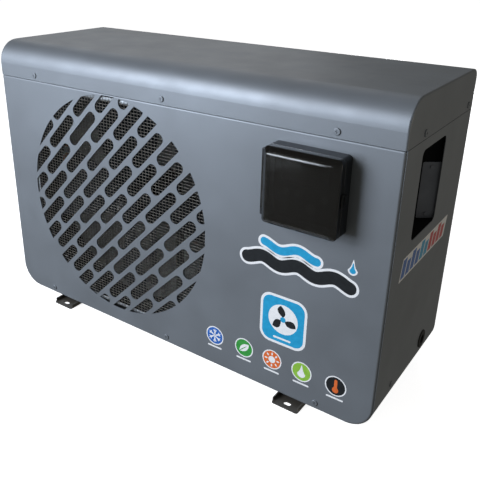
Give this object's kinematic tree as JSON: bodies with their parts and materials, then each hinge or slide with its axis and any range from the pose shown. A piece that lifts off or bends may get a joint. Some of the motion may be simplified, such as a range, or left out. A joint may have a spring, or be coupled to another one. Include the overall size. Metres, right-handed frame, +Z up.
{
  "type": "pool heat pump",
  "caption": "Horizontal pool heat pump cabinet with a slotted round air outlet, a hinged front control box, a side recess and rear water unions.",
  "frame": {"origin": "centre of the four slotted feet, on the floor plane", "axes": "+X to the right seen from the front, +Y to the back, +Z up"},
  "size_m": [1.0044, 0.491, 0.649],
  "materials": {
    "casing_paint": "satin",
    "foot_paint": "satin",
    "galvanised_steel": "satin",
    "mesh_wire": "satin",
    "guard_wire": "satin",
    "black_moulding": "matte",
    "grey_moulding": "matte",
    "white_moulding": "satin",
    "pvc_pipe": "satin",
    "smoked_cover": "gloss",
    "display_glass": "gloss",
    "black_rubber": "matte",
    "black_enamel": "satin",
    "copper": "satin",
    "brass": "satin",
    "fin_aluminium": "satin",
    "bright_steel": "polished",
    "titanium": "satin",
    "circuit_board": "satin",
    "printed_film": "satin"
  },
  "bodies": {
    "cabinet": {"top_cover": "casing_paint", "front_panel": "casing_paint", "right_side_panel": "casing_paint", "left_side_panel": "casing_paint", "rear_panel": "casing_paint", "casing_screws": "casing_paint", "coil_guard": "guard_wire", "base_pan": "galvanised_steel", "foot_rail_left": "foot_paint", "foot_rail_right": "foot_paint", "top_frame": "galvanised_steel", "partition_panel": "galvanised_steel", "grille_mesh": "mesh_wire", "fan_shroud": "black_moulding", "fan_motor": "black_enamel", "fan_motor_bracket": "galvanised_steel", "evaporator_coil": "fin_aluminium", "coil_end_plates": "galvanised_steel", "coil_return_bends": "copper", "compressor": "black_enamel", "compressor_grommets": "black_rubber", "compressor_nuts": "bright_steel", "suction_accumulator": "black_enamel", "heat_exchanger_shell": "pvc_pipe", "titanium_coil": "titanium", "water_inlet_pipe": "pvc_pipe", "water_outlet_pipe": "pvc_pipe", "union_tails": "pvc_pipe", "union_o_rings": "black_rubber", "flow_switch": "grey_moulding", "four_way_valve": "brass", "valve_solenoid": "black_moulding", "refrigerant_lines": "copper", "expansion_valve": "brass", "electrical_box": "galvanised_steel", "control_board": "circuit_board", "contactor": "grey_moulding", "run_capacitor": "fin_aluminium", "grip_pocket": "black_moulding", "terminal_cover": "grey_moulding", "cable_grommet": "black_rubber", "control_box_base": "black_moulding", "hinge_pin": "bright_steel", "lid_seal": "black_rubber", "controller_housing": "black_moulding", "display_window": "display_glass", "labels": "printed_film"},
    "fan": {"fan_shaft": "bright_steel", "fan_blade": "black_moulding", "fan_nut": "bright_steel"},
    "lid": {"control_lid": "smoked_cover"},
    "power_key": {"power_button": "grey_moulding"},
    "mode_key": {"mode_button": "grey_moulding"},
    "down_key": {"down_button": "grey_moulding"},
    "up_key": {"up_button": "grey_moulding"},
    "inlet_nut": {"inlet_union_nut": "black_moulding"},
    "outlet_nut": {"outlet_union_nut": "black_moulding"},
    "contactor_armature": {"contactor_plunger": "white_moulding"},
    "paddle": {"flow_paddle": "bright_steel"}
  },
  "joints": [
    {"name": "fan_spin", "type": "hinge", "parent": "cabinet", "child": "fan", "pos_m": [-0.149, -0.1, 0.307], "axis": [0, 1, 0], "continuous": true},
    {"name": "lid_hinge", "type": "hinge", "parent": "cabinet", "child": "lid", "pos_m": [0.258, -0.207, 0.474], "axis": [0, 0, -1], "range_deg": [0, 165]},
    {"name": "power_press", "type": "slide", "parent": "cabinet", "child": "power_key", "axis": [0, 1, 0], "range_m": [0, 0.0012], "stiffness_N_per_m": 800, "springref_m": -0.0005},
    {"name": "mode_press", "type": "slide", "parent": "cabinet", "child": "mode_key", "axis": [0, 1, 0], "range_m": [0, 0.0012], "stiffness_N_per_m": 800, "springref_m": -0.0005},
    {"name": "down_press", "type": "slide", "parent": "cabinet", "child": "down_key", "axis": [0, 1, 0], "range_m": [0, 0.0012], "stiffness_N_per_m": 800, "springref_m": -0.0005},
    {"name": "up_press", "type": "slide", "parent": "cabinet", "child": "up_key", "axis": [0, 1, 0], "range_m": [0, 0.0012], "stiffness_N_per_m": 800, "springref_m": -0.0005},
    {"name": "inlet_nut_turn", "type": "hinge", "parent": "cabinet", "child": "inlet_nut", "pos_m": [0.37, 0.21, 0.11], "axis": [0, 1, 0], "continuous": true},
    {"name": "outlet_nut_turn", "type": "hinge", "parent": "cabinet", "child": "outlet_nut", "pos_m": [0.37, 0.21, 0.39], "axis": [0, 1, 0], "continuous": true},
    {"name": "armature_slide", "type": "slide", "parent": "cabinet", "child": "contactor_armature", "axis": [0, 1, 0], "range_m": [0, 0.004], "stiffness_N_per_m": 800, "springref_m": -0.001},
    {"name": "paddle_swing", "type": "hinge", "parent": "cabinet", "child": "paddle", "pos_m": [0.37, 0.158, 0.133], "axis": [-1, 0, 0], "range_deg": [0, 20], "stiffness_Nm_per_rad": 0.02, "springref_deg": -2.86}
  ]
}
